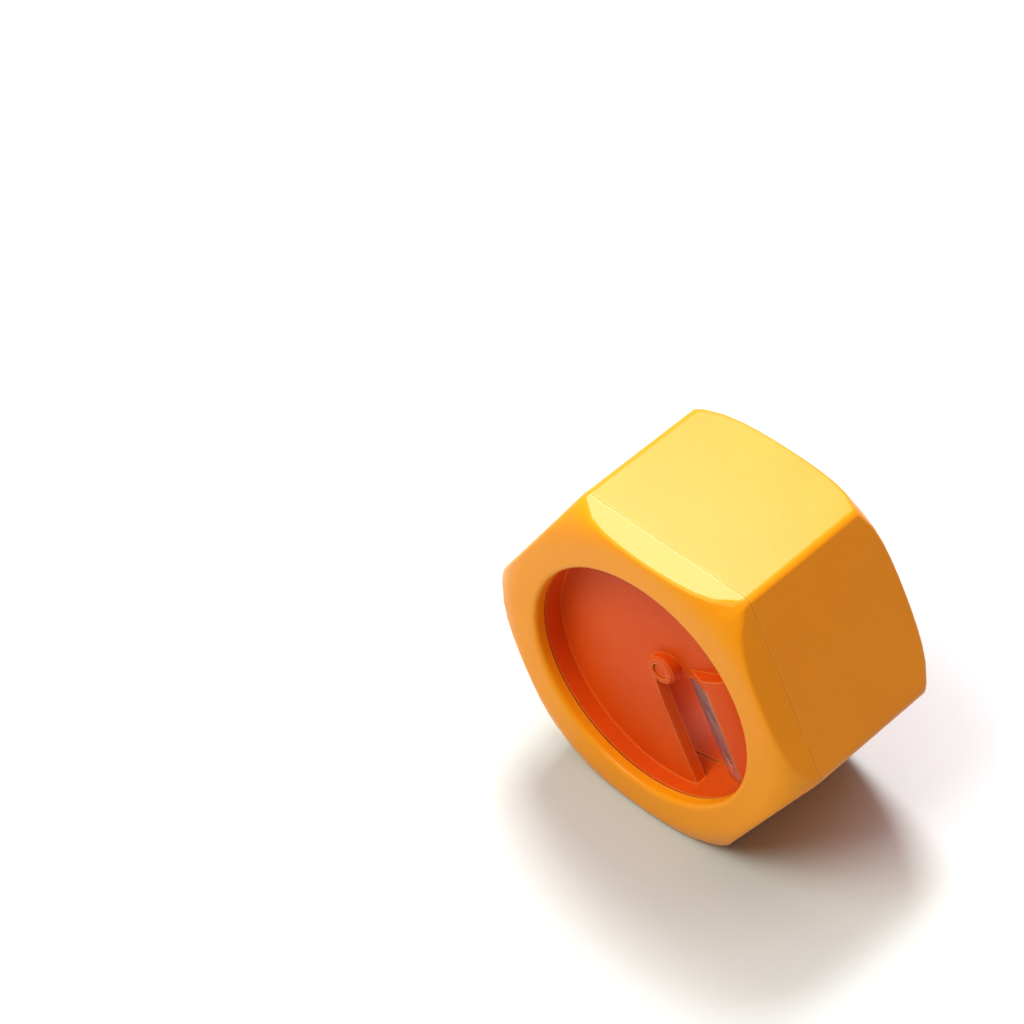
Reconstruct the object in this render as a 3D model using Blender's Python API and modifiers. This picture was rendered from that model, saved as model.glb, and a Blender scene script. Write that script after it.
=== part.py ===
"""A hand-held spiral slicer shaped like a hexagonal nut.

A vegetable goes into the round bore from behind, onto a pointed centre pin, and is turned by hand. The
cutter plate's floor rises once round like one turn of a screw thread, and the blade takes a slice of that
height.

Each piece is modelled in the bench frame: the bore's axis is Z, the slices leave at the top, and z = 0 is
the rear face. The nut frame then lays everything on its lower flat, with the slices leaving towards -Y.
"""

from math import atan2, cos, pi, radians, sin, sqrt, tan

import bmesh
import bpy
from mathutils import Matrix, Vector

# Outer form, in metres
CORNER_ROUND = 0.0019
INNER_CORNER_ROUND = 0.0005
EDGE_ROUND = 0.0006
FLAT_LENGTH = 0.0283
FRONT_CROWN = 0.0062
REAR_CROWN = 0.0043
FRONT_LAND = 0.0004
REAR_LAND = 0.0004
FRONT_RING_WIDTH = 0.0050
REAR_RING_WIDTH = 0.0050
CAP_LEAN = radians(6)

# Walls and fits
SHELL_WALL = 0.0026
CAP_WALL = 0.0024
SLEEVE_WALL = 0.0020
FIT_GAP = 0.0003
CLOSE_GAP = 0.00015
SEAM_GAP = 0.0001

# Bore
BORE_RADIUS = 0.0250
FEED_TAPER = 0.0006
RIM_ROUND = 0.0012

# Cutter plate
SLICE = 0.0038
FLOOR = 0.0024
RING_WALL = 0.0028
RING_LIP = 0.0030
PLATE_FOOT = 0.0006
FLANGE = 0.0020
HUB_RADIUS = 0.0030
HUB_EDGE = 0.0005
MOUTH_ANGLE = radians(-60)
MOUTH_GAP = 0.0028
FLOOR_MARGIN = radians(0.5)

# Blade, in its own frame: x runs outwards along the cutting edge, y up the slope, z towards the front
BLADE_WIDTH = 0.0120
BLADE_THICKNESS = 0.0008
BLADE_SLOPE = radians(26)
BLADE_BEVEL = 0.0018
BLADE_EDGE = 0.00006
BLADE_OVERHANG = 0.0020
SHOULDER_LAND = 0.0016
SHOULDER_RUN = 0.0095
BED_FACE_RUN = 0.0010

# Blade screws
SCREW_FROM_HUB = 0.0068
SCREW_FROM_BORE = 0.0058
SCREW_UP_SLOPE = 0.0080
SCREW_HEAD_RADIUS = 0.0021
SCREW_HEAD_DEPTH = 0.0010
SCREW_SHANK_RADIUS = 0.0011
SCREW_LENGTH = 0.0034
SCREW_SLOT_WIDTH = 0.0007
SCREW_SLOT_LENGTH = 0.0024
SCREW_SLOT_DEPTH = 0.0006

# Centre pin
PIN_LENGTH = 0.0130
PIN_COLLAR = 0.0021
PIN_SHOULDER_DROP = 0.0010
PIN_SHOULDER_STEP = 0.0004
PIN_BELLY_DROP = 0.0080
PIN_BELLY_RADIUS = 0.0017
PIN_TIP_RADIUS = 0.0003
PIN_STEM_RADIUS = 0.0015
PIN_STEM_RECESS = 0.0004

# Snap hooks and ribs inside the housing
TONGUE_WALL = 0.0010
RING_ROOM = 0.0008
HOOK_GAP = 0.0032
HOOK_THICKNESS = 0.0012
HOOK_WIDTH = 0.0036
HOOK_BARB = 0.0009
HOOK_BARB_HEIGHT = 0.0014
HOOK_NOSE = 0.0008
HOOK_NOSE_DROP = 0.0009
HOOK_SIDE_ROOM = 0.0006
CATCH_HEIGHT = 0.0015
RIB_WALL = 0.0016
HOOK_CORNERS = (0, 120, 240)
RIB_CORNERS = (60, 180, 300)
FLAT_MIDDLES = (30, 90, 150, 210, 270, 330)

# Fineness of the surfaces
CORNER_STEPS = 4
FLAT_STEPS = 10
FLOOR_BANDS = 3
FACE_STEPS = 8
FACE_CROWDING = 1.3
WALL_STEPS = 4
ROUND_STEPS = 4
TURN_STEPS = 72
SCREW_STEPS = 32
PIN_STEPS = 40
SHARP_ANGLE = radians(32)

# How far a cutter runs past what it cuts, and how far a joined shape reaches into what carries it
OVERSHOOT = 0.002
BITE = 0.0006

# Heights in the bench frame, worked out from the sizes above
SEAM = REAR_CROWN + FLAT_LENGTH
FRONT = SEAM + FRONT_CROWN
CAP_UNDERSIDE = FRONT - CAP_WALL
RING_TOP = CAP_UNDERSIDE - FIT_GAP
EDGE_LEVEL = RING_TOP - RING_LIP - FLOOR - SLICE
PLATE_BOTTOM = EDGE_LEVEL - PLATE_FOOT
FLANGE_TOP = PLATE_BOTTOM + FLANGE
SUPPORT_TOP = PLATE_BOTTOM - FIT_GAP
HUB_TOP = EDGE_LEVEL + SLICE + FLOOR
MOUTH_TOP = SLICE + FLOOR + OVERSHOOT
RING_RADIUS = BORE_RADIUS + RING_WALL
ACROSS_FLATS = 2 * (RING_RADIUS + RING_ROOM + TONGUE_WALL + FIT_GAP + SHELL_WALL)
SLEEVE_RADIUS = BORE_RADIUS + SLEEVE_WALL
FEED_RADIUS = BORE_RADIUS + FEED_TAPER
SCREW_PLACES = {"inner": HUB_RADIUS + SCREW_FROM_HUB, "outer": BORE_RADIUS - SCREW_FROM_BORE}
CAVITY_INSET = SHELL_WALL + FIT_GAP
HOOK_RADIUS = RING_RADIUS + HOOK_GAP
CATCH_BOTTOM = SUPPORT_TOP - CATCH_HEIGHT
BARB_TOP = CATCH_BOTTOM - FIT_GAP
HOOK_BOTTOM = BARB_TOP - HOOK_BARB_HEIGHT

ORANGE_PLASTIC = ("orange_plastic", (0.92, 0.34, 0.006, 1), 0.38, 0.0)
DEEP_ORANGE_PLASTIC = ("insert_plastic", (0.80, 0.13, 0.004, 1), 0.45, 0.0)
BLADE_STEEL = ("blade_steel", (0.62, 0.62, 0.63, 1), 0.22, 1.0)
SCREW_STEEL = ("screw_steel", (0.55, 0.55, 0.56, 1), 0.30, 1.0)


def clear_scene():
    for obj in list(bpy.data.objects):
        bpy.data.objects.remove(obj)


def new_collection(name):
    collection = bpy.data.collections.new(name)
    bpy.context.scene.collection.children.link(collection)
    return collection


def new_frame(name, parent, matrix):
    """An empty that other pieces are placed in."""
    frame = bpy.data.objects.new(name, None)
    PARTS.objects.link(frame)
    frame.parent = parent
    frame.matrix_local = matrix
    return frame


def material(name, colour, roughness, metallic):
    made = bpy.data.materials.get(name)
    if made is None:
        made = bpy.data.materials.new(name)
        made.use_nodes = True
        shader = made.node_tree.nodes["Principled BSDF"]
        shader.inputs["Base Color"].default_value = colour
        shader.inputs["Roughness"].default_value = roughness
        shader.inputs["Metallic"].default_value = metallic
    return made


def add_object(name, bm, frame, finish=None):
    """Turns a bmesh into a part, or into a hidden cutter if it has no finish."""
    mesh = bpy.data.meshes.new(name)
    bm.to_mesh(mesh)
    bm.free()
    obj = bpy.data.objects.new(name, mesh)
    obj.parent = frame
    if finish is None:
        CUTTERS.objects.link(obj)
        obj.hide_render = True
        obj.display_type = "WIRE"
    else:
        PARTS.objects.link(obj)
        mesh.materials.append(material(*finish))
        mesh.shade_smooth()
        mesh.set_sharp_from_angle(angle=SHARP_ANGLE)
    return obj


def boolean(obj, operation, tool):
    modifier = obj.modifiers.new(f"{operation.lower()} {tool.name}", "BOOLEAN")
    modifier.operation = operation
    modifier.object = tool
    return obj


# Primitive shapes


def turned(name, profile, frame, finish=None, steps=TURN_STEPS):
    """A solid of revolution. The profile is a list of (radius, z) that runs down its outer side."""
    bm = bmesh.new()
    points = [bm.verts.new((radius, 0, z)) for radius, z in profile]
    for first, second in zip(points, points[1:]):
        bm.edges.new((first, second))
    if profile[0][0] > 0:
        bm.edges.new((points[-1], points[0]))
    obj = add_object(name, bm, frame, finish)
    screw = obj.modifiers.new("turn", "SCREW")
    screw.axis = "Z"
    screw.angle = 2 * pi
    screw.steps = screw.render_steps = steps
    screw.use_merge_vertices = True
    screw.merge_threshold = 0.00001
    return obj


def cylinder(name, radius, low, high, frame):
    bm = bmesh.new()
    middle = Matrix.Translation((0, 0, (low + high) / 2))
    bmesh.ops.create_cone(
        bm, cap_ends=True, segments=TURN_STEPS, radius1=radius, radius2=radius, depth=high - low,
        matrix=middle,
    )
    return add_object(name, bm, frame)


def extruded(bm, outline, low, high, matrix):
    """Adds a prism to bm: the outline is a list of (y, z), and the prism runs along x from low to high."""
    face = bm.faces.new([bm.verts.new((low, y, z)) for y, z in outline])
    grown = bmesh.ops.extrude_face_region(bm, geom=[face])
    moved = [item for item in grown["geom"] if isinstance(item, bmesh.types.BMVert)]
    bmesh.ops.translate(bm, verts=moved, vec=(high - low, 0, 0))
    bmesh.ops.transform(bm, matrix=matrix, verts=list({*face.verts, *moved}))
    bmesh.ops.recalc_face_normals(bm, faces=bm.faces)


def prism(name, outline, low, high, frame, finish=None):
    bm = bmesh.new()
    extruded(bm, outline, low, high, Matrix.Identity(4))
    return add_object(name, bm, frame, finish)


def blocks(name, angles, inner, outer, width, low, high, frame):
    """One radial block at each angle, from the inner to the outer radius, joined into one cutter."""
    bm = bmesh.new()
    size = Matrix.Diagonal((outer - inner, width, high - low, 1))
    outwards = Matrix.Translation(((inner + outer) / 2, 0, (low + high) / 2))
    for angle in angles:
        bmesh.ops.create_cube(bm, size=1, matrix=Matrix.Rotation(radians(angle), 4, "Z") @ outwards @ size)
    return add_object(name, bm, frame)


# The rounded hexagon


def corner_arc(inset):
    """Centre distance, radius and half angle of a corner's rounding, for a hexagon set in by this much."""
    apothem = ACROSS_FLATS / 2 - inset
    radius = max(CORNER_ROUND - inset, INNER_CORNER_ROUND)
    centre = (apothem - radius) / cos(pi / 6)
    return centre, radius, atan2(radius * sin(pi / 6), centre + radius * cos(pi / 6))


def hex_radius(angle, inset=0.0):
    """Distance from the axis to the rounded hexagon, in this direction."""
    centre, radius, half_angle = corner_arc(inset)
    from_corner = (angle + pi / 6) % (pi / 3) - pi / 6
    if abs(from_corner) < half_angle:
        return centre * cos(from_corner) + sqrt(radius**2 - (centre * sin(from_corner)) ** 2)
    return (ACROSS_FLATS / 2 - inset) / cos(pi / 6 - abs(from_corner))


def section_angles():
    """The directions that hexagonal pieces are lofted through, closer together round each corner."""
    apothem = ACROSS_FLATS / 2
    half_angle = corner_arc(0)[2]
    half_flat = apothem * tan(pi / 6 - half_angle)
    angles = []
    for corner in range(6):
        start = corner * pi / 3
        angles += [start + half_angle * (2 * k / CORNER_STEPS - 1) for k in range(CORNER_STEPS + 1)]
        for k in range(1, FLAT_STEPS):
            angles.append(start + pi / 6 + atan2(half_flat * (2 * k / FLAT_STEPS - 1), apothem))
    return angles


def lofted(name, profile, frame, finish):
    """A ring whose section changes with direction. profile(angle) is a closed list of (radius, z)."""
    bm = bmesh.new()
    sections = []
    for angle in section_angles():
        points = profile(angle)
        sections.append([bm.verts.new((r * cos(angle), r * sin(angle), z)) for r, z in points])
    for here, there in zip(sections, sections[1:] + sections[:1]):
        for k in range(len(here)):
            after = (k + 1) % len(here)
            bm.faces.new((here[k], there[k], there[after], here[after]))
    bmesh.ops.recalc_face_normals(bm, faces=bm.faces)
    return add_object(name, bm, frame, finish)


# Curves of the crowned ends


def crown_drop(radius, flat_radius, drop):
    """How far a crowned end has fallen from its flat middle, at this distance from the axis."""
    reach = hex_radius(0) - flat_radius
    arc = (reach**2 + drop**2) / (2 * drop)
    beyond = max(radius - flat_radius, 0)
    return arc - sqrt(max(arc**2 - beyond**2, 0))


def front_drop(radius):
    return crown_drop(radius, BORE_RADIUS + FRONT_RING_WIDTH, FRONT_CROWN - FRONT_LAND)


def rear_drop(radius):
    return crown_drop(radius, FEED_RADIUS + REAR_RING_WIDTH, REAR_CROWN - REAR_LAND)


def eased(before, corner, after):
    """A rounded corner that starts at one point and ends at another."""
    before, corner, after = Vector(before), Vector(corner), Vector(after)
    shares = [k / ROUND_STEPS for k in range(ROUND_STEPS + 1)]
    return [tuple(before.lerp(corner, t).lerp(corner.lerp(after, t), t)) for t in shares]


def face_points(start, end, height):
    """Points across a crowned face, from the outer radius to the inner one, closer where it curves."""
    radii = [start + (end - start) * (k / FACE_STEPS) ** FACE_CROWDING for k in range(1, FACE_STEPS)]
    return [(r, height(r)) for r in radii]


def wall_points(start, end, height):
    """Points along the hidden side of a crowned wall."""
    radii = [start + (end - start) * k / WALL_STEPS for k in range(WALL_STEPS + 1)]
    return [(r, height(r)) for r in radii]


# Profiles of the lofted pieces


def crowned_side(base, shoulder, height, opening, opening_level):
    """From the seam up over the rounded shoulder, across the face and into the rounded opening."""
    side = abs(shoulder[1] - base[1])
    ease = min(EDGE_ROUND, side / 2)
    toward_base = (base[0] - shoulder[0]) / side
    step = ease if base[1] < shoulder[1] else -ease
    below = (shoulder[0] + ease * toward_base, shoulder[1] - step)
    inward = shoulder[0] - ease
    rim = opening + RIM_ROUND
    rim_height = height(rim)
    round_over = RIM_ROUND if opening_level < rim_height else -RIM_ROUND
    return [
        base,
        *eased(below, shoulder, (inward, height(inward))),
        *face_points(inward, rim, height),
        *eased((rim, rim_height), (opening, rim_height), (opening, rim_height - round_over)),
        (opening, opening_level),
    ]


def cap_profile(angle):
    def height(radius):
        return FRONT - front_drop(radius)

    def underside(radius):
        return height(radius) - CAP_WALL

    seam = SEAM + SEAM_GAP / 2
    outer = hex_radius(angle)
    lean = (height(outer) - seam) * tan(CAP_LEAN)
    shoulder = hex_radius(angle, lean)
    tongue_out = hex_radius(angle, CAVITY_INSET)
    tongue_in = hex_radius(angle, CAVITY_INSET + TONGUE_WALL)
    tongue_bottom = FLANGE_TOP + FIT_GAP
    return [
        *crowned_side((outer, seam), (shoulder, height(shoulder)), height, BORE_RADIUS, CAP_UNDERSIDE),
        *wall_points(BORE_RADIUS, tongue_in, underside)[1:],
        (tongue_in, tongue_bottom),
        (tongue_out, tongue_bottom),
        (tongue_out, seam),
    ]


def shell_profile(angle):
    def inner_side(radius):
        return SHELL_WALL + rear_drop(radius)

    seam = SEAM - SEAM_GAP / 2
    outer = hex_radius(angle)
    wall = hex_radius(angle, SHELL_WALL)
    return [
        *crowned_side((outer, seam), (outer, rear_drop(outer)), rear_drop, FEED_RADIUS, SHELL_WALL),
        *wall_points(FEED_RADIUS, wall, inner_side)[1:],
        (wall, seam),
    ]


def plate_profile(angle):
    """The cutter plate's ring, with a hexagonal flange that keeps it from turning in the housing."""
    flange = hex_radius(angle, CAVITY_INSET)
    return [
        (BORE_RADIUS, PLATE_BOTTOM),
        (BORE_RADIUS, RING_TOP),
        (RING_RADIUS, RING_TOP),
        (RING_RADIUS, FLANGE_TOP),
        (flange, FLANGE_TOP),
        (flange, PLATE_BOTTOM),
    ]


# Pieces


def make_body_shell(frame):
    """The hexagonal housing: outer walls and rear face in one, with ribs that hold the guide sleeve."""
    shell = lofted("body_shell", shell_profile, frame, ORANGE_PLASTIC)
    rib_inner = SLEEVE_RADIUS + FIT_GAP
    wall_inner = ACROSS_FLATS / 2 - SHELL_WALL
    corner_inner = hex_radius(0, SHELL_WALL)
    rib_low = SHELL_WALL - BITE
    flat_ribs = blocks(
        "flat_ribs", FLAT_MIDDLES, rib_inner, wall_inner + BITE, RIB_WALL, rib_low, SUPPORT_TOP, frame
    )
    corner_ribs = blocks(
        "corner_ribs", RIB_CORNERS, rib_inner, corner_inner + BITE, RIB_WALL, rib_low, SUPPORT_TOP, frame
    )
    catch_inner = HOOK_RADIUS + HOOK_THICKNESS + FIT_GAP
    catch_width = HOOK_WIDTH + 2 * FIT_GAP + RIB_WALL
    catches = blocks(
        "catches", HOOK_CORNERS, catch_inner, corner_inner + BITE, catch_width,
        CATCH_BOTTOM, SUPPORT_TOP, frame,
    )
    for tool in (flat_ribs, corner_ribs, catches):
        boolean(shell, "UNION", tool)
    return shell


def make_front_cap(frame):
    """The crowned front face, which closes the housing and is held by three snap hooks."""
    cap = lofted("front_cap", cap_profile, frame, ORANGE_PLASTIC)
    outside = HOOK_RADIUS + HOOK_THICKNESS
    top = CAP_UNDERSIDE - front_drop(outside) + BITE
    outline = [
        (HOOK_RADIUS, top),
        (HOOK_RADIUS, HOOK_BOTTOM),
        (outside - HOOK_THICKNESS + HOOK_NOSE, HOOK_BOTTOM),
        (outside + HOOK_BARB, HOOK_BOTTOM + HOOK_NOSE_DROP),
        (outside + HOOK_BARB, BARB_TOP),
        (outside, BARB_TOP),
        (outside, top),
    ]
    bm = bmesh.new()
    for corner in HOOK_CORNERS:
        # The outline's y is the distance from the axis, so a quarter turn back puts it along the corner.
        place = Matrix.Rotation(radians(corner - 90), 4, "Z")
        extruded(bm, outline, -HOOK_WIDTH / 2, HOOK_WIDTH / 2, place)
    boolean(cap, "UNION", add_object("snap_hooks", bm, frame))
    return cap


def make_guide_sleeve(frame):
    """The smooth liner that steers the vegetable, a little wider at the feed end."""
    low = SHELL_WALL + FIT_GAP
    high = SUPPORT_TOP
    profile = [(SLEEVE_RADIUS, high), (SLEEVE_RADIUS, low), (FEED_RADIUS, low), (BORE_RADIUS, high)]
    return turned("guide_sleeve", profile, frame, DEEP_ORANGE_PLASTIC)


def make_floor(frame):
    """One turn of a thick screw surface that the vegetable rides up, with the blade's bed and the mouth."""
    bm = bmesh.new()
    start = Matrix.Rotation(FLOOR_MARGIN, 4, "Z")
    inner = Vector((HUB_RADIUS / 2, 0, 0))
    outer = Vector((BORE_RADIUS + BITE, 0, 0))
    points = [bm.verts.new(start @ inner.lerp(outer, k / FLOOR_BANDS)) for k in range(FLOOR_BANDS + 1)]
    for first, second in zip(points, points[1:]):
        bm.edges.new((first, second))
    floor = add_object("helical_floor", bm, frame)
    screw = floor.modifiers.new("one turn", "SCREW")
    screw.axis = "Z"
    screw.angle = 2 * pi - 2 * FLOOR_MARGIN
    screw.screw_offset = SLICE
    screw.steps = screw.render_steps = TURN_STEPS
    screw.use_merge_vertices = False
    thick = floor.modifiers.new("thickness", "SOLIDIFY")
    thick.thickness = FLOOR
    thick.offset = 1
    thick.use_even_offset = False
    boolean(floor, "UNION", make_blade_bed(frame))
    boolean(floor, "DIFFERENCE", make_mouth(frame))
    return boolean(floor, "DIFFERENCE", make_pocket(frame))


def on_slope(run, lift):
    """A point of the blade's frame, this far up the slope and off it, as (y, z) in the mouth's frame."""
    return (
        run * cos(BLADE_SLOPE) - lift * sin(BLADE_SLOPE),
        run * sin(BLADE_SLOPE) + lift * cos(BLADE_SLOPE),
    )


def make_blade_bed(frame):
    """The wedge under the blade, with a shoulder that lets the slice slide down to the floor.

    The outline's lower corners lie inside the floor, so that the two join in one body.
    """
    face_y, face_z = on_slope(BED_FACE_RUN, BLADE_THICKNESS)
    back, top = on_slope(BLADE_WIDTH, BLADE_THICKNESS)
    start = back + SHOULDER_LAND
    end = start + SHOULDER_RUN
    ease = SHOULDER_RUN / 3
    middle = ((start + end) / 2, (top + FLOOR) / 2)
    slope = eased((start, top), (start + ease, top), middle)
    foot = eased(middle, (end - ease, FLOOR), (end, FLOOR))
    outline = [
        (face_y, FLOOR / 4), (face_y, face_z), (back, top), *slope, *foot[1:], (end, (FLOOR + SLICE) / 4)
    ]
    reach = BORE_RADIUS + 2 * BITE
    bed = prism("blade_bed", outline, HUB_RADIUS / 4, reach, frame)
    return boolean(bed, "INTERSECT", cylinder("bed_limit", reach, -OVERSHOOT, HUB_TOP, frame))


def make_mouth(frame):
    """Cuts the gap under the blade's edge that the slice comes through."""
    outline = [
        (-MOUTH_GAP, -OVERSHOOT),
        (BLADE_OVERHANG, -OVERSHOOT),
        (BLADE_OVERHANG, MOUTH_TOP),
        (-MOUTH_GAP, MOUTH_TOP),
    ]
    return prism("mouth", outline, HUB_RADIUS / 2, RING_RADIUS, frame)


def make_pocket(frame):
    """Cuts the pocket that the blade lies in, and clears the way over it. The bed stays beside the hub."""
    start = BLADE_OVERHANG - BITE
    outline = [
        (start, start * tan(BLADE_SLOPE) - CLOSE_GAP / cos(BLADE_SLOPE)),
        on_slope(BLADE_WIDTH + CLOSE_GAP, -CLOSE_GAP),
        on_slope(BLADE_WIDTH + CLOSE_GAP, BLADE_THICKNESS + SLICE),
        (start, MOUTH_TOP),
    ]
    return prism("blade_pocket", outline, HUB_RADIUS, RING_RADIUS, frame)


def make_cutter_plate(frame, mouth, blade_frame):
    """The helical floor with its hub, ring and blade bed, in one moulding."""
    plate = lofted("cutter_plate", plate_profile, frame, DEEP_ORANGE_PLASTIC)
    notch_width = HOOK_WIDTH + 2 * HOOK_SIDE_ROOM
    notches = blocks(
        "hook_notches", HOOK_CORNERS, HOOK_RADIUS - HOOK_SIDE_ROOM, hex_radius(0), notch_width,
        PLATE_BOTTOM - OVERSHOOT, FLANGE_TOP + OVERSHOOT, frame,
    )
    hub_profile = [
        (0, HUB_TOP),
        (HUB_RADIUS - HUB_EDGE, HUB_TOP),
        (HUB_RADIUS, HUB_TOP - HUB_EDGE),
        (HUB_RADIUS, PLATE_BOTTOM),
        (0, PLATE_BOTTOM),
    ]
    boolean(plate, "UNION", make_floor(mouth))
    boolean(plate, "UNION", turned("hub", hub_profile, frame))
    boolean(plate, "DIFFERENCE", cylinder("pin_bore", PIN_STEM_RADIUS + CLOSE_GAP, 0, FRONT, frame))
    boolean(plate, "DIFFERENCE", notches)
    for place, along in SCREW_PLACES.items():
        boolean(plate, "DIFFERENCE", screw_room(f"{place}_screw_hole", along, blade_frame))
    return plate


def make_blade(mouth, blade_frame):
    """A flat steel blade, bevelled on its front side, with an outer end that follows the bore."""
    outline = [
        (0, 0),
        (BLADE_WIDTH, 0),
        (BLADE_WIDTH, BLADE_THICKNESS),
        (BLADE_BEVEL, BLADE_THICKNESS),
        (0, BLADE_EDGE),
    ]
    blade = prism("blade", outline, HUB_RADIUS + CLOSE_GAP, RING_RADIUS, blade_frame, BLADE_STEEL)
    boolean(blade, "INTERSECT", cylinder("blade_end", BORE_RADIUS - FIT_GAP, -OVERSHOOT, HUB_TOP, mouth))
    for place, along in SCREW_PLACES.items():
        boolean(blade, "DIFFERENCE", screw_room(f"{place}_blade_hole", along, blade_frame))
    return blade


def screw_profile(gap, above):
    """A countersunk screw that stands in the blade, grown by the gap, and carried on above its head."""
    top = BLADE_THICKNESS
    profile = [(0, top + above), (SCREW_HEAD_RADIUS + gap, top + above)]
    if above:
        profile.append((SCREW_HEAD_RADIUS + gap, top))
    profile += [
        (SCREW_SHANK_RADIUS + gap, top - SCREW_HEAD_DEPTH),
        (SCREW_SHANK_RADIUS + gap, top - SCREW_LENGTH - gap),
        (0, top - SCREW_LENGTH - gap),
    ]
    return profile


def screw_room(name, along, blade_frame):
    tool = turned(name, screw_profile(CLOSE_GAP, OVERSHOOT), blade_frame, steps=SCREW_STEPS)
    tool.location = (along, SCREW_UP_SLOPE, 0)
    return tool


def make_blade_screw(place, along, blade_frame):
    screw = turned(f"blade_screw_{place}", screw_profile(0, 0), blade_frame, SCREW_STEEL, SCREW_STEPS)
    screw.location = (along, SCREW_UP_SLOPE, 0)
    bm = bmesh.new()
    size = Matrix.Diagonal((SCREW_SLOT_LENGTH, SCREW_SLOT_WIDTH, 2 * SCREW_SLOT_DEPTH, 1))
    for turn in (0, 90):
        bmesh.ops.create_cube(bm, size=1, matrix=Matrix.Rotation(radians(turn), 4, "Z") @ size)
    recess = add_object(f"{place}_recess", bm, blade_frame)
    recess.location = (along, SCREW_UP_SLOPE, BLADE_THICKNESS)
    modifier = boolean(screw, "DIFFERENCE", recess).modifiers[-1]
    modifier.use_self = True
    return screw


def make_centre_pin(frame):
    """The pointed pin that centres the vegetable, with a stem pressed into the hub."""
    base = PLATE_BOTTOM - CLOSE_GAP
    shoulder = base - PIN_COLLAR - PIN_SHOULDER_DROP
    tip = base - PIN_LENGTH
    belly = (PIN_BELLY_RADIUS, base - PIN_BELLY_DROP)
    point = eased((HUB_RADIUS - PIN_SHOULDER_STEP, shoulder), belly, (PIN_TIP_RADIUS, tip))
    profile = [
        (0, HUB_TOP - PIN_STEM_RECESS),
        (PIN_STEM_RADIUS, HUB_TOP - PIN_STEM_RECESS),
        (PIN_STEM_RADIUS, base),
        (HUB_RADIUS, base),
        (HUB_RADIUS, base - PIN_COLLAR),
        *point,
        (0, tip),
    ]
    return turned("centre_pin", profile, frame, DEEP_ORANGE_PLASTIC, PIN_STEPS)


def main():
    lie_down = Matrix.Translation((0, FRONT / 2, ACROSS_FLATS / 2)) @ Matrix.Rotation(pi / 2, 4, "X")
    nut_frame = new_frame("nut_frame", None, lie_down)
    to_mouth = Matrix.Translation((0, 0, EDGE_LEVEL)) @ Matrix.Rotation(MOUTH_ANGLE, 4, "Z")
    mouth = new_frame("mouth_frame", nut_frame, to_mouth)
    blade_frame = new_frame("blade_frame", mouth, Matrix.Rotation(BLADE_SLOPE, 4, "X"))
    make_body_shell(nut_frame)
    make_front_cap(nut_frame)
    make_guide_sleeve(nut_frame)
    make_cutter_plate(nut_frame, mouth, blade_frame)
    make_blade(mouth, blade_frame)
    for place, along in SCREW_PLACES.items():
        make_blade_screw(place, along, blade_frame)
    make_centre_pin(nut_frame)


clear_scene()
PARTS = new_collection("spiral_slicer")
CUTTERS = new_collection("cutters")
main()
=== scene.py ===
"""The looks of the nut-shaped spiral slicer: materials, floor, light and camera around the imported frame."""

from math import cos, radians, sin

import bpy
from mathutils import Euler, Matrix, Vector

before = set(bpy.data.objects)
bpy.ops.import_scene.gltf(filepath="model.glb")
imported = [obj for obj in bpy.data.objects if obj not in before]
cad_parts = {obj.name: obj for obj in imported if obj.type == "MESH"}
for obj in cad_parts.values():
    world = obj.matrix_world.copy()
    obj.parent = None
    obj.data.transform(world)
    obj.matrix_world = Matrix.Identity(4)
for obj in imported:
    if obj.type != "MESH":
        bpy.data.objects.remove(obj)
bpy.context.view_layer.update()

SCENE = bpy.context.scene

# Camera, fitted to the photograph's corners and rim
CAMERA_PLACE = (0.3049, -0.3759, 0.5655)
CAMERA_TURN = (43.85, -0.11, 43.39)
LENS = 140.6
SENSOR_WIDTH = 36
NEAREST = 0.02
FURTHEST = 20

# Smooth shading
SMOOTH_ANGLE = 34
WELD = 0.000002

# The blade: its cutting edge leaves the axis at this turn, seen from the front
MOUTH_TURN = radians(-60)
BLADE_SLOPE = radians(26)
BLADE_EDGE_PLACE = (0, -0.0075, 0.0325)
BEVEL_WIDTH = 0.0018
BEVEL_BLUR = 0.00005
INNER_SCREW = 0.0098
OUTER_SCREW = 0.0192
SCREW_UP_SLOPE = 0.0080

# Noise: a scale is the number of waves in a metre, and a span is where most of the noise's values lie
NOISE_SPAN = (0.3, 0.7)
NARROW_SPAN = (0.35, 0.65)

# Plastic
PLASTIC_GLOSS = 0.20
PLASTIC_SHEEN = (1.0, 0.95, 0.78, 1)
MOTTLE_SCALE = 55.0
SPECKS_SCALE = 1500.0
MOTTLE_SHARE = 0.75
GRAIN_SCALE = 2600.0
GRAIN_HEIGHT = 0.00003
UNEVEN_SCALE = 240.0
UNEVEN_HEIGHT = 0.00006
UNEVEN_STRENGTH = 0.6

# Edges rubbed smoother by wear, and paler with wear and a painted highlight; start and full are cosines
# between the plain and the rounded surface
WORN_HIGHLIGHT_WIDTH = 0.0006
WORN_HIGHLIGHT_START = 0.995
WORN_HIGHLIGHT_FULL = 0.90
WORN_HIGHLIGHT_SHARE = 0.35
RUBBED_SMOOTHER = 0.08
WORN_HIGHLIGHT_EDGE = (1.0, 0.52, 0.10, 1)

# Steel
BRUSHED_SCALE = 2400.0
HONED_SCALE = 3000.0
RINGS_SCALE = 5200.0
ALONG_STREAK = 0.05
BEVEL_BRIGHTER = 0.6
BLADE_DARK = (0.62, 0.62, 0.63, 1)
BLADE_LIGHT = (0.67, 0.67, 0.68, 1)
BEVEL_LIGHT = (0.76, 0.76, 0.77, 1)
SCREW_DARK = (0.60, 0.60, 0.61, 1)
SCREW_LIGHT = (0.68, 0.68, 0.69, 1)
STREAK_HEIGHT = 0.0000001
RINGS_HEIGHT = 0.000001

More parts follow.
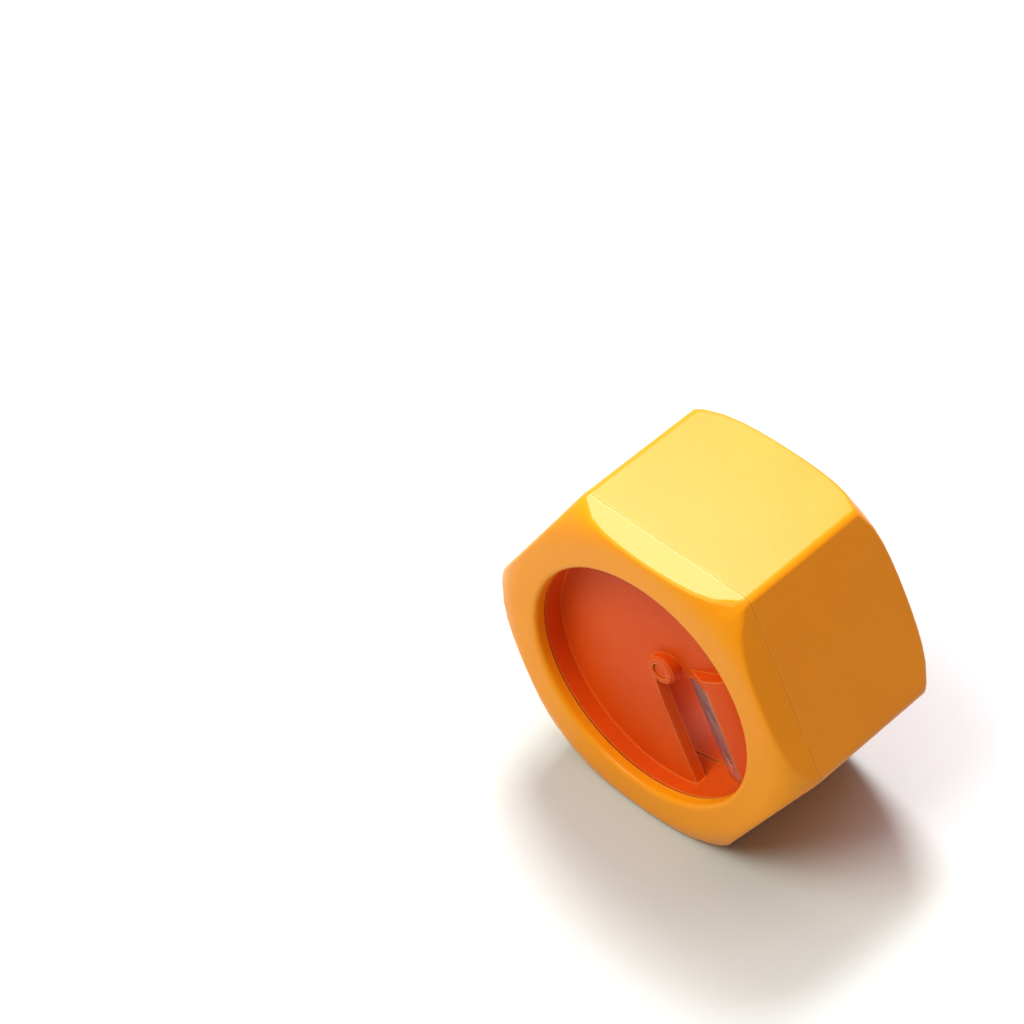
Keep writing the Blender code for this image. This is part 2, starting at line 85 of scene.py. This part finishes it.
# Floor. Its glow for the camera starts at FADE_START from the slicer, and makes it white from FADE_END on
FLOOR_HALF = 3.0
FLOOR_COLOUR = (0.60, 0.61, 0.64, 1)
FLOOR_ROUGHNESS = 0.6
FADE_START = 0.026
FADE_EASED = 0.066
FADE_END = 1.0
FADE_CURVE = 0.6
SKY_LIGHT = 0.08
WHITE = (1, 1, 1, 1)

# Square soft lamps: place, side, watts and colour
LAMPS_AIM = Vector((0, 0, 0.0325))
LAMPS = {
    "key_above_left": ((-0.36, 0.31, 0.735), 0.28, 8.2, (0.96, 1.0, 0.98)),
    "soft_box_front": ((-0.20, -0.48, 0.73), 0.50, 6.1, (0.89, 1.0, 0.82)),
    "soft_box_above": ((0.12, 0.05, 0.92), 0.60, 2.7, (1.0, 0.64, 0.62)),
}


# Node helpers


class Nodes:
    """Builds one node tree, with short names for what the materials use."""

    def __init__(self, tree):
        self.tree = tree
        tree.nodes.clear()

    def add(self, kind, **settings):
        node = self.tree.nodes.new(kind)
        for name, value in settings.items():
            setattr(node, name, value)
        return node

    def set(self, socket, value):
        if isinstance(value, bpy.types.NodeSocket):
            self.tree.links.new(value, socket)
        else:
            socket.default_value = value

    def coords(self):
        return self.add("ShaderNodeTexCoord").outputs["Object"]

    def noise(self, vector, scale, detail, roughness):
        node = self.add("ShaderNodeTexNoise")
        self.set(node.inputs["Vector"], vector)
        self.set(node.inputs["Scale"], scale)
        self.set(node.inputs["Detail"], detail)
        self.set(node.inputs["Roughness"], roughness)
        return node.outputs["Fac"]

    def remap(self, value, from_low, from_high, to_low, to_high, **settings):
        node = self.add("ShaderNodeMapRange", **settings)
        for socket, number in zip(node.inputs[:5], (value, from_low, from_high, to_low, to_high)):
            self.set(socket, number)
        return node.outputs["Result"]

    def spread(self, noise, low, high, span=NOISE_SPAN):
        """Noise that runs from low to high, over the span where most of its values lie."""
        return self.remap(noise, *span, low, high)

    def mix(self, factor, first, second):
        node = self.add("ShaderNodeMix", data_type="RGBA")
        self.set(node.inputs[0], factor)
        self.set(node.inputs[6], first)
        self.set(node.inputs[7], second)
        return node.outputs[2]

    def maths(self, operation, *values):
        node = self.add("ShaderNodeMath", operation=operation)
        for socket, value in zip(node.inputs, values):
            self.set(socket, value)
        return node.outputs[0]

    def combine(self, x, y, z):
        node = self.add("ShaderNodeCombineXYZ")
        for socket, value in zip(node.inputs, (x, y, z)):
            self.set(socket, value)
        return node.outputs[0]

    def vector_maths(self, operation, *values):
        node = self.add("ShaderNodeVectorMath", operation=operation)
        for socket, value in zip(node.inputs, values):
            self.set(socket, value)
        return node.outputs["Value"]

    def dot(self, vector, direction):
        return self.vector_maths("DOT_PRODUCT", vector, direction)

    def length(self, vector):
        return self.vector_maths("LENGTH", vector)

    def directions(self, vector, *parts):
        """The vector taken along three directions of its own, each with its scale."""
        return self.combine(*(self.maths("MULTIPLY", self.dot(vector, way), scale) for way, scale in parts))

    def edges(self, width):
        """1 on edges and corners of about this width, and 0 on the open surface."""
        rounded = self.add("ShaderNodeBevel", samples=6)
        self.set(rounded.inputs["Radius"], width)
        plain = self.add("ShaderNodeNewGeometry").outputs["Normal"]
        return self.remap(self.dot(rounded.outputs[0], plain), WORN_HIGHLIGHT_START, WORN_HIGHLIGHT_FULL, 0.0, 1.0)

    def bump(self, height, distance, strength=1.0, normal=None):
        node = self.add("ShaderNodeBump")
        self.set(node.inputs["Height"], height)
        self.set(node.inputs["Distance"], distance)
        self.set(node.inputs["Strength"], strength)
        if normal is not None:
            self.set(node.inputs["Normal"], normal)
        return node.outputs["Normal"]

    def seen(self):
        """1 for what the camera sees, directly, in gloss or in glass, and 0 for the light on things."""
        rays = self.add("ShaderNodeLightPath").outputs
        gloss_or_glass = self.maths("MAXIMUM", rays["Is Glossy Ray"], rays["Is Transmission Ray"])
        return self.maths("MAXIMUM", rays["Is Camera Ray"], gloss_or_glass)

    def surface(self, **inputs):
        shader = self.add("ShaderNodeBsdfPrincipled")
        for name, value in inputs.items():
            self.set(shader.inputs[name.replace("_", " ")], value)
        output = self.add("ShaderNodeOutputMaterial")
        self.tree.links.new(shader.outputs[0], output.inputs["Surface"])


def new_material(name):
    made = bpy.data.materials.new(name)
    made.use_nodes = True
    return made, Nodes(made.node_tree)


# Materials


def plastic(name, light, deep, roughness, grain):
    """Satin moulded plastic: a slight mottle, a fine spark-eroded grain, and edges rubbed smoother, painted
    paler with wear and a highlight.
    """
    made, n = new_material(name)
    place = n.coords()
    mottle = n.noise(place, MOTTLE_SCALE, 4.0, 0.55)
    specks = n.noise(place, SPECKS_SCALE, 2.0, 0.6)
    blend = n.maths("ADD", n.spread(mottle, 0.0, MOTTLE_SHARE),
                    n.spread(specks, 0.0, 1 - MOTTLE_SHARE, NARROW_SPAN))
    # Edge mask: wear makes the edges smoother, and a painted highlight together with wear makes them paler
    wear_and_highlight = n.maths("MULTIPLY", n.edges(WORN_HIGHLIGHT_WIDTH), n.spread(mottle, 0.4, 1.0, NARROW_SPAN))
    pale = n.maths("MULTIPLY", wear_and_highlight, WORN_HIGHLIGHT_SHARE)
    fine = n.noise(place, GRAIN_SCALE, 3.0, 0.6)
    uneven = n.bump(n.noise(place, UNEVEN_SCALE, 2.0, 0.5), UNEVEN_HEIGHT, grain * UNEVEN_STRENGTH)
    rough = n.maths("SUBTRACT", n.spread(fine, roughness - 0.05, roughness + 0.06),
                    n.maths("MULTIPLY", wear_and_highlight, RUBBED_SMOOTHER))
    n.surface(
        Base_Color=n.mix(pale, n.mix(blend, deep, light), WORN_HIGHLIGHT_EDGE),
        Roughness=rough,
        Normal=n.bump(fine, GRAIN_HEIGHT, grain, uneven),
        Specular_IOR_Level=PLASTIC_GLOSS,
        Specular_Tint=PLASTIC_SHEEN,
    )
    return made


def blade_steel(name):
    """Sheet steel brushed along the edge, with a brighter bevel that is honed across it."""
    made, n = new_material(name)
    place = n.coords()
    along, up, off = BLADE_AXES
    brushed_ways = n.directions(place, (along, ALONG_STREAK), (up, 1.0), (off, 1.0))
    honed_ways = n.directions(place, (along, 1.0), (up, ALONG_STREAK), (off, ALONG_STREAK))
    from_edge = n.maths("SUBTRACT", n.dot(place, up), up.dot(Vector(BLADE_EDGE_PLACE)))
    on_bevel = n.remap(from_edge, BEVEL_WIDTH - BEVEL_BLUR, BEVEL_WIDTH + BEVEL_BLUR, 1.0, 0.0)
    honed = n.maths("MULTIPLY", on_bevel, n.noise(honed_ways, HONED_SCALE, 3.0, 0.6))
    brushed = n.maths("MULTIPLY", n.maths("SUBTRACT", 1.0, on_bevel),
                      n.noise(brushed_ways, BRUSHED_SCALE, 3.0, 0.6))
    streaks = n.maths("ADD", honed, brushed)
    plain = n.mix(n.spread(streaks, 0.0, 1.0), BLADE_DARK, BLADE_LIGHT)
    n.surface(
        Base_Color=n.mix(n.maths("MULTIPLY", on_bevel, BEVEL_BRIGHTER), plain, BEVEL_LIGHT),
        Metallic=1.0,
        Roughness=n.spread(streaks, 0.31, 0.36),
        Normal=n.bump(streaks, STREAK_HEIGHT),
    )
    return made


def screw_steel(name, place_on_blade):
    """Turned steel: fine rings round the screw's own axis."""
    made, n = new_material(name)
    place = n.coords()
    along, up, off = BLADE_AXES
    middle = Vector(BLADE_EDGE_PLACE) + along * place_on_blade + up * SCREW_UP_SLOPE
    sideways = n.maths("SUBTRACT", n.dot(place, along), along.dot(middle))
    upwards = n.maths("SUBTRACT", n.dot(place, up), up.dot(middle))
    radius = n.length(n.combine(sideways, upwards, 0.0))
    rings = n.noise(n.combine(radius, 0.0, 0.0), RINGS_SCALE, 2.0, 0.6)
    n.surface(
        Base_Color=n.mix(n.spread(rings, 0.0, 1.0), SCREW_DARK, SCREW_LIGHT),
        Metallic=1.0,
        Roughness=n.spread(rings, 0.26, 0.34),
        Normal=n.bump(rings, RINGS_HEIGHT),
    )
    return made


def blade_axes():
    """Directions along the cutting edge, up the blade's slope and off its front side."""
    along = Vector((cos(MOUTH_TURN), 0, sin(MOUTH_TURN)))
    across = Vector((-sin(MOUTH_TURN), 0, cos(MOUTH_TURN)))
    front = Vector((0, -1, 0))
    up = across * cos(BLADE_SLOPE) + front * sin(BLADE_SLOPE)
    off = front * cos(BLADE_SLOPE) - across * sin(BLADE_SLOPE)
    return along, up, off


BLADE_AXES = blade_axes()
ORANGE = plastic(
    "orange_satin_plastic", light=(0.95, 0.318, 0.004, 1), deep=(0.91, 0.285, 0.003, 1),
    roughness=0.31, grain=0.45,
)
# Plastic for the parts inside the bore: deeper and redder than the body, partly their own colour and partly
# painted shade of the bore
INNER_PAINTED_SHADE_PLASTIC = plastic(
    "inner_plastic_painted_shade", light=(0.77, 0.088, 0.004, 1), deep=(0.70, 0.062, 0.003, 1),
    roughness=0.46, grain=0.25,
)

FINISHES = {
    "body_shell": ORANGE,
    "front_cap": ORANGE,
    "guide_sleeve": INNER_PAINTED_SHADE_PLASTIC,
    "cutter_plate": INNER_PAINTED_SHADE_PLASTIC,
    "centre_pin": INNER_PAINTED_SHADE_PLASTIC,
    "blade": blade_steel("ground_blade_steel"),
    "blade_screw_inner": screw_steel("inner_screw_steel", INNER_SCREW),
    "blade_screw_outer": screw_steel("outer_screw_steel", OUTER_SCREW),
}


# Smooth shading of the frame's own solids


def smoothing_nodes():
    """Welds a solid's triangles, and shades it smooth with sharp edges above an angle."""
    group = bpy.data.node_groups.new("smooth_by_angle", "GeometryNodeTree")
    group.interface.new_socket("Geometry", in_out="INPUT", socket_type="NodeSocketGeometry")
    group.interface.new_socket("Geometry", in_out="OUTPUT", socket_type="NodeSocketGeometry")
    nodes, link = group.nodes, group.links.new
    start, end = nodes.new("NodeGroupInput"), nodes.new("NodeGroupOutput")
    forget = nodes.new("GeometryNodeRemoveAttribute")
    forget.inputs["Name"].default_value = "custom_normal"
    weld = nodes.new("GeometryNodeMergeByDistance")
    weld.inputs["Distance"].default_value = WELD
    faces = nodes.new("GeometryNodeSetShadeSmooth")
    faces.domain = "FACE"
    edges = nodes.new("GeometryNodeSetShadeSmooth")
    edges.domain = "EDGE"
    edges.inputs["Shade Smooth"].default_value = False
    angle = nodes.new("GeometryNodeInputMeshEdgeAngle")
    above = nodes.new("FunctionNodeCompare")
    above.operation = "GREATER_THAN"
    above.inputs[1].default_value = radians(SMOOTH_ANGLE)
    link(angle.outputs["Unsigned Angle"], above.inputs[0])
    link(above.outputs[0], edges.inputs["Selection"])
    link(start.outputs[0], forget.inputs["Geometry"])
    link(forget.outputs[0], weld.inputs["Geometry"])
    link(weld.outputs[0], faces.inputs["Geometry"])
    link(faces.outputs[0], edges.inputs["Geometry"])
    link(edges.outputs[0], end.inputs[0])
    return group


def dress_frame():
    smooth = smoothing_nodes()
    for name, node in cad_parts.items():
        for slot in node.material_slots:
            slot.material = FINISHES[name]
        node.modifiers.new("smooth by angle", "NODES").node_group = smooth
        weighted = node.modifiers.new("flats stay flat", "WEIGHTED_NORMAL")
        weighted.keep_sharp = True


# Floor, light and camera


def make_floor():
    mesh = bpy.data.meshes.new("floor")
    corners = [(x * FLOOR_HALF, y * FLOOR_HALF, 0) for x, y in ((-1, -1), (1, -1), (1, 1), (-1, 1))]
    mesh.from_pydata(corners, [], [(0, 1, 2, 3)])
    floor = bpy.data.objects.new("floor", mesh)
    SCENE.collection.objects.link(floor)
    made, n = new_material("pale_floor")
    away = n.length(n.coords())
    eased = n.remap(away, FADE_START, FADE_EASED, 0.0, 1.0, interpolation_type="SMOOTHSTEP")
    curve = n.maths("POWER", n.remap(away, 0.0, FADE_END, 0.0, 1.0), FADE_CURVE)
    n.surface(
        Base_Color=FLOOR_COLOUR,
        Roughness=FLOOR_ROUGHNESS,
        Emission_Color=WHITE,
        Emission_Strength=n.maths("MULTIPLY", n.seen(), n.maths("MULTIPLY", eased, curve)),
    )
    mesh.materials.append(made)


def make_world():
    world = bpy.data.worlds.new("studio")
    SCENE.world = world
    world.use_nodes = True
    n = Nodes(world.node_tree)
    background = n.add("ShaderNodeBackground")
    n.set(background.inputs["Color"], WHITE)
    n.set(background.inputs["Strength"], n.remap(n.seen(), 0.0, 1.0, SKY_LIGHT, 1.0))
    output = n.add("ShaderNodeOutputWorld")
    world.node_tree.links.new(background.outputs[0], output.inputs["Surface"])


def make_lamp(name, place, side, watts, colour):
    data = bpy.data.lights.new(name, "AREA")
    data.shape = "SQUARE"
    data.size = side
    data.energy = watts
    data.color = colour
    lamp = bpy.data.objects.new(name, data)
    lamp.location = place
    lamp.rotation_euler = (Vector(place) - LAMPS_AIM).to_track_quat("Z", "Y").to_euler()
    SCENE.collection.objects.link(lamp)


def make_camera():
    data = bpy.data.cameras.new("camera")
    data.lens = LENS
    data.sensor_width = SENSOR_WIDTH
    data.clip_start = NEAREST
    data.clip_end = FURTHEST
    camera = bpy.data.objects.new("camera", data)
    camera.location = CAMERA_PLACE
    camera.rotation_euler = Euler([radians(turn) for turn in CAMERA_TURN])
    SCENE.collection.objects.link(camera)
    SCENE.camera = camera


dress_frame()
make_floor()
make_world()
for lamp_name, settings in LAMPS.items():
    make_lamp(lamp_name, *settings)
make_camera()
SCENE.view_settings.view_transform = "Standard"
